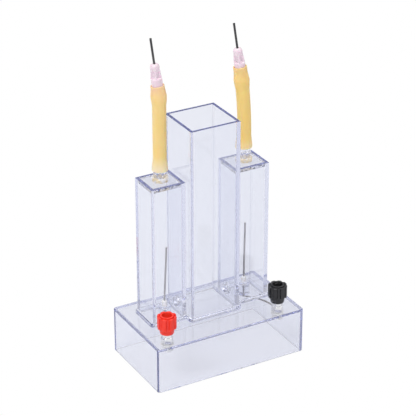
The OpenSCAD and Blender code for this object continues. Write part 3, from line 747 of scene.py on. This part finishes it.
for side, word in sides:
    dome = arc(hub_tip_r, hub_dome_low, hub_nose_r - hub_tip_r, hub_l - hub_dome_low, range(0, 91, 9))
    shell = [(0, 0), (hub_flange_r - edge, 0), (hub_flange_r, edge),
             (hub_flange_r, hub_flange_t - edge), (hub_body_r + edge / 2, hub_flange_t + edge / 2),
             (hub_body_r, hub_flange_t + 2 * edge), (hub_body_r, hub_fin_low - edge),
             (hub_body_r - edge, hub_fin_low), (hub_core_r + edge, hub_fin_low + edge),
             (hub_core_r, hub_fin_low + 2 * edge), (hub_core_r, hub_nose_low - 2 * edge),
             (hub_core_r + edge, hub_nose_low - edge), (hub_nose_r, hub_nose_low)]
    hub = turned(word + "_pink_hub", shell + dome + [(0, hub_l)])
    for turn in (0, 90):
        fin = block("fin", (2 * hub_body_r, hub_fin_t, hub_nose_low - hub_fin_low),
                    (0, 0, (hub_nose_low + hub_fin_low) / 2), edge, 3)
        start_edit(fin)
        choose(fin, "FACE", lambda f: f.normal.z > 0.9)
        bpy.ops.transform.resize(value=(hub_nose_r / hub_body_r, 1, 1), center_override=(0, 0, 0))
        end_edit()
        fin.data.transform(Matrix.Rotation(lean_turn + math.radians(turn), 4, "Z"))
        combine(hub, fin, "UNION")
    combine(hub, turned("socket", [(0, -mm), (hub_socket_r, -mm), (hub_socket_end_r, hub_socket_l),
                                   (0, hub_socket_l)]), "DIFFERENCE")
    combine(hub, pin("bore", hub_bore_r, 0, hub_l - tip_wall, 0, 0), "DIFFERENCE")
    combine(hub, pin("bore", tip_bore_r, 0, 2 * hub_l, 0, 0), "DIFFERENCE")
    hub.data.transform(mouth_frame(side, word))
    smooth(hub)
    fit(hub, pink, word + "_needle_set", word + "_needle_hub")


# Needles
# Blunt needles of drawn stainless tube, held inside the hub by a bead of glue round the foot. The
# end is cut square and lightly dressed.
needle_r, needle_bore_r, glue_r = 0.735 * mm, 0.535 * mm, 1.1 * mm
needle_top = hub_l + 17 * mm
dressed = 0.08 * mm

steel, steel_tree, steel_shader = material("needle_steel")
tint_with(steel_tree, noise(steel_tree, 900.0, 2.0, (1, 1, 0.05)), (0.055, 0.055, 0.057),
          (0.115, 0.113, 0.11))
steel_shader.inputs["Metallic"].default_value = 1.0
gloss_with(steel_tree, noise(steel_tree, 600.0, 2.0, (1, 1, 0.1)), 0.28, 0.45)
grain_with(steel_tree, noise(steel_tree, 2500.0, 2.0, (1, 1, 0.04)), 0.01 * mm, 0.5)

for side, word in sides:
    wall = [(needle_bore_r, hub_socket_l), (glue_r, hub_socket_l), (glue_r, hub_l - tip_wall - dressed),
            (needle_r, hub_l - tip_wall - dressed),
            (needle_r, needle_top - dressed), (needle_r - dressed, needle_top),
            (needle_bore_r, needle_top), (needle_bore_r, hub_socket_l)]
    needle = turned(word + "_blunt_needle", wall, sides=32)
    needle.data.transform(mouth_frame(side, word))
    smooth(needle)
    fit(needle, steel, word + "_needle_set", word + "_needle")


# Electrodes
# Two wires of dull grey metal that stand in the gas tubes. Each passes up through its boss and its
# seal, and is bent over a little to the front right above them.
electrode_r = 0.625 * mm
electrode_foot = 29.3 * mm
bend_z, bend_r = 46.75 * mm, 10 * mm
straight_l = bend_z - electrode_foot
rod_rings = 64
# For each side: how far the wire's end is above the deck, and the angle of its bend
electrode_reach = {"left": (53 * mm, math.radians(2.5)), "right": (54.1 * mm, math.radians(0.8))}

wire, wire_tree, wire_shader = material("electrode_wire")
tint_with(wire_tree, noise(wire_tree, 250.0, 4.0, (1, 1, 0.4)), (0.46, 0.447, 0.452), (0.61, 0.592, 0.585))
wire_shader.inputs["Metallic"].default_value = 0.85
gloss_with(wire_tree, noise(wire_tree, 800.0), 0.4, 0.6)
grain_with(wire_tree, noise(wire_tree, 3000.0, 2.0, (1, 1, 0.05)), 0.01 * mm, 0.6)


def electrode_line(side, word, h):
    """The point and the direction of an electrode's centre line, at a length along it."""
    _, lean = electrode_reach[word]
    turn = min(max((h - straight_l) / bend_r, 0.0), lean)
    past = max(h - straight_l - bend_r * lean, 0.0)
    across = bend_r * (1 - math.cos(turn)) + past * math.sin(lean)
    up = min(h, straight_l) + bend_r * math.sin(turn) + past * math.cos(lean)
    along = Vector((0, 0, math.cos(turn))) - math.sin(turn) * lean_dir
    return Vector((side * gas_x, electrode_y[word], electrode_foot + up)) - across * lean_dir, along


for side, word in sides:
    reach, lean = electrode_reach[word]
    top = straight_l + bend_r * lean + (base_h + reach - bend_z - bend_r * math.sin(lean)) / math.cos(lean)
    rod = [(0, 0), (electrode_r - dressed, 0)]
    rod += [(electrode_r, dressed + (top - 3 * dressed) * i / rod_rings) for i in range(rod_rings + 1)]
    rod += [(electrode_r - dressed, top - dressed), (electrode_r - 3 * dressed, top), (0, top)]
    electrode = turned(word + "_electrode_wire", rod, sides=24)
    follow(electrode, lambda h: electrode_line(side, word, h))
    smooth(electrode)
    fit(electrode, wire, "stand", word + "_electrode")


# Electrode seals
# Short sleeves of soft white silicone round the wires, pushed into the pocket of each boss, with a
# rounded top that grips the wire.
seal_r, seal_low, seal_top = 1.8 * mm, 39.3 * mm, 45.5 * mm
seal_round, seal_dome_h = 0.9 * mm, 1.2 * mm

silicone, silicone_tree, silicone_shader = material("white_silicone")
tint_with(silicone_tree, noise(silicone_tree, 400.0, 3.0), (0.86, 0.85, 0.82), (0.93, 0.925, 0.91))
silicone_shader.inputs["Subsurface Weight"].default_value = 0.4
silicone_shader.inputs["Subsurface Radius"].default_value = (1.0, 0.9, 0.8)
silicone_shader.inputs["Subsurface Scale"].default_value = 1.5 * mm
gloss_with(silicone_tree, noise(silicone_tree, 700.0), 0.45, 0.65)
grain_with(silicone_tree, noise(silicone_tree, 1500.0, 3.0), 0.05 * mm, 0.4)

for side, word in sides:
    sleeve = [(electrode_r + glue_gap, seal_low), (seal_r, seal_low)]
    sleeve += arc(seal_r - seal_round, seal_top - seal_dome_h, seal_round, seal_dome_h, range(0, 91, 15))
    sleeve += [(electrode_r + glue_gap, seal_top), (electrode_r + glue_gap, seal_low)]
    seal = turned(word + "_white_seal", sleeve, (side * gas_x, electrode_y[word], 0), 48)
    smooth(seal)
    fit(seal, silicone, "stand", word + "_electrode_seal")


# Lead wires
# Bare stranded wire, tinned, held close under the deck: from each electrode's foot in a shallow
# bow to the tail of the solder tag.
lead_r, lead_z = 0.55 * mm, 28.75 * mm
tag_reach, washer_r = 8.5 * mm, 4.5 * mm
lead_lay = 7 * mm
lead_rings = 120
strands = 7
strand_share = 0.12

tinned, tinned_tree, tinned_shader = material("tinned_wire")
tint_with(tinned_tree, noise(tinned_tree, 350.0, 4.0), (0.20, 0.185, 0.17), (0.36, 0.34, 0.32))
tinned_shader.inputs["Metallic"].default_value = 0.9
gloss_with(tinned_tree, noise(tinned_tree, 900.0), 0.35, 0.55)


def lead_ends(side, word, post_x, bow):
    """Start, pull point and end of a lead's bow, and the way it leaves the terminal."""
    foot = Vector((side * gas_x, electrode_y[word], lead_z))
    post = Vector((post_x, post_y, lead_z))
    pull = (foot + post) / 2 + Vector((side * bow, 0, 0))
    tail = (pull - post).normalized()
    start = foot - 2 * electrode_r * (pull - foot).normalized()
    return start, pull, post + (tag_reach - washer_r / 2) * tail, tail


# For each lead: its side twice, its terminal's place, and how far its bow stands out
leads = (("left", -1, red_x, 1.5 * mm), ("right", 1, black_x, 9.5 * mm))
for word, side, post_x, bow in leads:
    start, pull, end, _ = lead_ends(side, word, post_x, bow)

    def lead_line(h):
        """The point and the direction of the lead's bow, at a share of its length."""
        point = (1 - h) ** 2 * start + 2 * h * (1 - h) * pull + h * h * end
        return point, ((1 - h) * (pull - start) + h * (end - pull)).normalized()

    lead_l = (end - pull).length + (pull - start).length
    cord = [(0, 0)] + [(lead_r, i / lead_rings) for i in range(lead_rings + 1)] + [(0, 1)]
    lead = turned(word + "_lead", cord, sides=42)
    for vertex in lead.data.vertices:
        turn = math.atan2(vertex.co.y, vertex.co.x) + 2 * math.pi * vertex.co.z * lead_l / lead_lay
        dent = 1 - strand_share * (1 - abs(math.cos(strands * turn / 2)))
        vertex.co.x *= dent
        vertex.co.y *= dent
    follow(lead, lead_line)
    smooth(lead, 60)
    fit(lead, tinned, "stand", word + "_lead_wire")


# Terminal studs
# Turned from brass and nickel plated: a hexagonal foot on the deck, a threaded stud with a deep
# socket for a plug, and a threaded shank through the deck.
hex_flats, hex_h, hex_gap = 7 * mm, 4.4 * mm, 0.03 * mm
hex_turn, hex_slope = math.radians(40), 1.5
stud_r, stud_top = 3.0 * mm, 48.9 * mm
socket_r, socket_low = 2.0 * mm, 35.9 * mm
shank_r, shank_low = 2.0 * mm, 26.7 * mm
stud_pitch, shank_pitch = 1.0 * mm, 0.7 * mm
thread_share, thread_least = 0.6, 0.2
rings_per_turn = 8
small_chamfer = 0.4 * mm
posts = ((red_x, "red"), (black_x, "black"))

nickel, nickel_tree, nickel_shader = material("nickel_plate")
tint_with(nickel_tree, noise(nickel_tree, 200.0, 3.0), (0.72, 0.715, 0.705), (0.92, 0.915, 0.905))
nickel_shader.inputs["Metallic"].default_value = 1.0
gloss_with(nickel_tree, noise(nickel_tree, 500.0), 0.05, 0.13)
grain_with(nickel_tree, noise(nickel_tree, 1800.0, 2.0, (1, 1, 6)), 0.01 * mm, 0.4)


def threaded(name, radius, low, high, pitch):
    """A rod with a thread: rings along its length, drawn in and out along a helix."""
    steps = round(rings_per_turn * (high - low) / pitch)
    rod = [(0, low)] + [(radius, low + (high - low) * i / steps) for i in range(steps + 1)] + [(0, high)]
    obj = turned(name, rod, sides=48)
    depth = thread_share * pitch
    for vertex in obj.data.vertices:
        if math.hypot(vertex.co.x, vertex.co.y) < radius / 2:
            continue
        phase = (vertex.co.z / pitch - math.atan2(vertex.co.y, vertex.co.x) / (2 * math.pi)) % 1
        runout = min(1.0, (vertex.co.z - low) / pitch, (high - vertex.co.z) / pitch)
        shrink = 1 - depth * max(runout, thread_least) * abs(2 * phase - 1) / radius
        vertex.co.x *= shrink
        vertex.co.y *= shrink
    return obj


def hexagon(name, flats, low, high, turn=0.0):
    """A hexagonal bar on the Z axis, turned about it."""
    bpy.ops.mesh.primitive_cylinder_add(vertices=6, radius=flats / 2 / math.cos(math.radians(30)),
                                        depth=high - low, location=(0, 0, (low + high) / 2),
                                        rotation=(0, 0, turn - math.radians(30)))
    return named(name)


def turn_down_corners(bar, flats, wide_z, narrow_z, slope):
    """Chamfers a hexagonal bar's corners towards one end, by keeping what lies in a cone."""
    wide_r = flats / 2 + slope * abs(narrow_z - wide_z)
    combine(bar, turned("cone", [(0, wide_z), (wide_r, wide_z), (flats / 2, narrow_z), (0, narrow_z)]),
            "INTERSECT")


def stand_at_post(obj, x):
    """Moves a form made on the Z axis to a terminal's place."""
    obj.data.transform(Matrix.Translation((x, post_y, 0)))


for x, word in posts:
    stud = hexagon(word + "_terminal_stud", hex_flats, base_h + hex_gap, base_h + hex_h, hex_turn)
    turn_down_corners(stud, hex_flats, base_h, base_h + hex_h, hex_slope)
    combine(stud, threaded("thread", stud_r, base_h + hex_h / 2, stud_top, stud_pitch), "UNION")
    combine(stud, threaded("shank", shank_r, shank_low, base_h + hex_h / 4, shank_pitch), "UNION")
    socket = turned("socket", [(0, socket_low), (socket_r, socket_low),
                               (socket_r, stud_top - small_chamfer),
                               (socket_r + small_chamfer, stud_top),
                               (socket_r + small_chamfer, stud_top + mm), (0, stud_top + mm)])
    combine(stud, socket, "DIFFERENCE")
    stand_at_post(stud, x)
    smooth(stud, 30)
    fit(stud, nickel, "stand", word + "_post_stud")


# Washers, solder tags and nuts
# Under the deck each shank carries a plated washer, a tinned tag whose tail holds the lead, and a
# chamfered nut that draws the terminal down.
washer_low, washer_top = 29.6 * mm, 30.06 * mm
tag_low, tag_tail_w = 29.3 * mm, 2.4 * mm
nut_low, nut_flats, nut_slope = 27.1 * mm, 7 * mm, 2
ring_hole_r, hem = 2.05 * mm, 0.1 * mm

zinc, zinc_tree, zinc_shader = material("dull_zinc_plate")
tint_with(zinc_tree, noise(zinc_tree, 260.0, 3.0), (0.84, 0.84, 0.83), (0.92, 0.92, 0.91))
zinc_shader.inputs["Metallic"].default_value = 0.25
gloss_with(zinc_tree, noise(zinc_tree, 700.0), 0.45, 0.6)

tag_metal, tag_tree, tag_shader = material("tinned_brass")
tint_with(tag_tree, noise(tag_tree, 300.0, 4.0), (0.62, 0.57, 0.44), (0.78, 0.76, 0.70))
tag_shader.inputs["Metallic"].default_value = 1.0
gloss_with(tag_tree, noise(tag_tree, 700.0), 0.25, 0.45)

for (x, word), (side_word, side, _, bow) in zip(posts, leads):
    washer = turned(word + "_washer", [(ring_hole_r, washer_low), (washer_r - hem, washer_low),
                                       (washer_r, washer_low + hem), (washer_r, washer_top - hem),
                                       (washer_r - hem, washer_top), (ring_hole_r, washer_top),
                                       (ring_hole_r, washer_low)], (x, post_y, 0))
    smooth(washer)
    fit(washer, zinc, "stand", word + "_post_washer")

    tail = lead_ends(side, side_word, x, bow)[3]
    tag = pin(word + "_solder_tag", nut_flats / 2, tag_low, washer_low, 0, 0)
    tongue = block("tongue", (tag_reach, tag_tail_w, washer_low - tag_low),
                   (tag_reach / 2, 0, (washer_low + tag_low) / 2), tag_tail_w / 3, 5)
    combine(tag, tongue, "UNION")
    combine(tag, pin("hole", ring_hole_r, tag_low - mm, washer_low + mm, 0, 0), "DIFFERENCE")
    tag.data.transform(Matrix.Rotation(math.atan2(tail.y, tail.x), 4, "Z"))
    stand_at_post(tag, x)
    smooth(tag)
    fit(tag, tag_metal, "stand", word + "_post_tag")

    nut = hexagon(word + "_terminal_nut", nut_flats, nut_low, tag_low)
    turn_down_corners(nut, nut_flats, tag_low, nut_low, nut_slope)
    combine(nut, pin("hole", ring_hole_r, nut_low - mm, tag_low + mm, 0, 0), "DIFFERENCE")
    stand_at_post(nut, x)
    smooth(nut, 30)
    fit(nut, zinc, "stand", word + "_post_nut")


# Cap bushes
# A ring of plated brass below each cap, with a thin shank that is pressed up into the cap's pocket.
# It runs on the stud, and rises and falls with the cap.
bush_bore_r, bush_collar_r, bush_shank_r = 3.05 * mm, 3.8 * mm, 3.55 * mm
bush_low, bush_collar_top, bush_top = 36.8 * mm, 39.1 * mm, 45.1 * mm
bush_edge = 0.15 * mm

for x, word in posts:
    ring = [(bush_bore_r, bush_low), (bush_collar_r - small_chamfer, bush_low),
            (bush_collar_r - small_chamfer / 3, bush_low + small_chamfer / 3),
            (bush_collar_r, bush_low + small_chamfer), (bush_collar_r, bush_collar_top - bush_edge),
            (bush_collar_r - bush_edge, bush_collar_top), (bush_shank_r, bush_collar_top),
            (bush_shank_r, bush_top), (bush_bore_r, bush_top), (bush_bore_r, bush_low)]
    bush = turned(word + "_bush", ring, (x, post_y, 0))
    smooth(bush, 30)
    fit(bush, nickel, word + "_bush", word + "_cap_bush")


# Terminal caps
# Moulded in red and black plastic: eight rounded lobes for the fingers over a tapered skirt, and a
# low ring round the plug hole in the top.
cap_low, cap_top = 39.2 * mm, 52.5 * mm
lobe_low = 43.2 * mm
cap_r, cap_shoulder = 6.45 * mm, 51.9 * mm
flute_r, flute_place = 1.3 * mm, 6.55 * mm
lobe_count = 8
skirt_top_r, skirt_foot_r = 5.0 * mm, 4.7 * mm
cap_hole_r, cap_ring_r = 3.3 * mm, 4.6 * mm
groove_r, groove_h = 5.15 * mm, 0.7 * mm
cap_pocket_r, cap_pocket_top = 3.6 * mm, 45.3 * mm
soft_edge, flute_edge = 0.5 * mm, 0.14 * mm
# Rounded edges as millimetres sideways and along: the skirt's foot, the ring's rim, the hole's rim
skirt_edge = ((0.8, 0.0), (0.3, 0.1), (0.08, 0.35), (0.0, 0.8))
ring_edge = ((0.0, 0.25), (0.08, 0.08), (0.25, 0.0))
hole_edge = ((0.0, 0.3), (0.1, 0.1), (0.3, 0.0))


def cap_plastic(name, low, high, shine):
    """Semi-gloss moulded plastic, a little uneven in colour and gloss, with fine handling marks."""
    made, tree, shader = material(name)
    tint_with(tree, noise(tree, 260.0, 3.0), low, high)
    gloss_with(tree, noise(tree, 600.0, 4.0), 0.18, 0.3)
    grain_with(tree, noise(tree, 1500.0, 4.0), 0.03 * mm, 0.35)
    shader.inputs["Specular IOR Level"].default_value = shine
    return made


finishes = {"red": cap_plastic("red_moulded_plastic", (0.85, 0.024, 0.010), (0.93, 0.042, 0.020), 0.42),
            "black": cap_plastic("black_moulded_plastic", (0.005, 0.005, 0.006), (0.012, 0.012, 0.014), 0.5)}

for x, word in posts:
    grip = [(0, lobe_low)]
    grip += arc(cap_r - soft_edge, lobe_low + soft_edge, soft_edge, soft_edge, range(-90, 1, 15))
    grip += arc(cap_r - soft_edge, cap_shoulder - soft_edge, soft_edge, soft_edge, range(0, 91, 15))
    cap = turned(word + "_cap_shell", grip + [(0, cap_shoulder)], sides=96)
    for i in range(lobe_count):
        turn = 2 * math.pi * (i + 0.5) / lobe_count
        combine(cap, pin("flute", flute_r, lobe_low - mm, cap_top, flute_place * math.cos(turn),
                         flute_place * math.sin(turn), 32), "DIFFERENCE")
    soften = cap.modifiers.new("soften", "BEVEL")
    soften.width = flute_edge
    soften.segments = 3
    soften.limit_method = "ANGLE"
    soften.angle_limit = math.radians(35)
    bpy.ops.object.modifier_apply(modifier=soften.name)
    skirt = [(0, cap_low)] + [(skirt_foot_r - a * mm, cap_low + b * mm) for a, b in skirt_edge]
    skirt += [(skirt_top_r, lobe_low), (skirt_top_r, lobe_low + mm), (0, lobe_low + mm)]
    combine(cap, turned("skirt", skirt), "UNION")
    groove_low = cap_shoulder - groove_h
    groove = turned("groove", [(cap_ring_r - mm, groove_low), (groove_r, groove_low), (groove_r, cap_top),
                               (cap_ring_r - mm, cap_top), (cap_ring_r - mm, groove_low)])
    combine(cap, groove, "DIFFERENCE")
    ring = [(0, lobe_low + mm), (cap_ring_r, lobe_low + mm)]
    ring += [(cap_ring_r - a * mm, cap_top - b * mm) for a, b in ring_edge]
    combine(cap, turned("ring", ring + [(0, cap_top)]), "UNION")
    hole = [(0, cap_low - mm), (cap_pocket_r, cap_low - mm), (cap_pocket_r, cap_pocket_top),
            (cap_hole_r, cap_pocket_top)]
    hole += [(cap_hole_r + a * mm, cap_top - b * mm) for a, b in hole_edge]
    hole += [(hole[-1][0], cap_top + mm), (0, cap_top + mm)]
    combine(cap, turned("hole", hole), "DIFFERENCE")
    stand_at_post(cap, x)
    smooth(cap, 35)
    fit(cap, finishes[word], word + "_grip", word + "_cap")
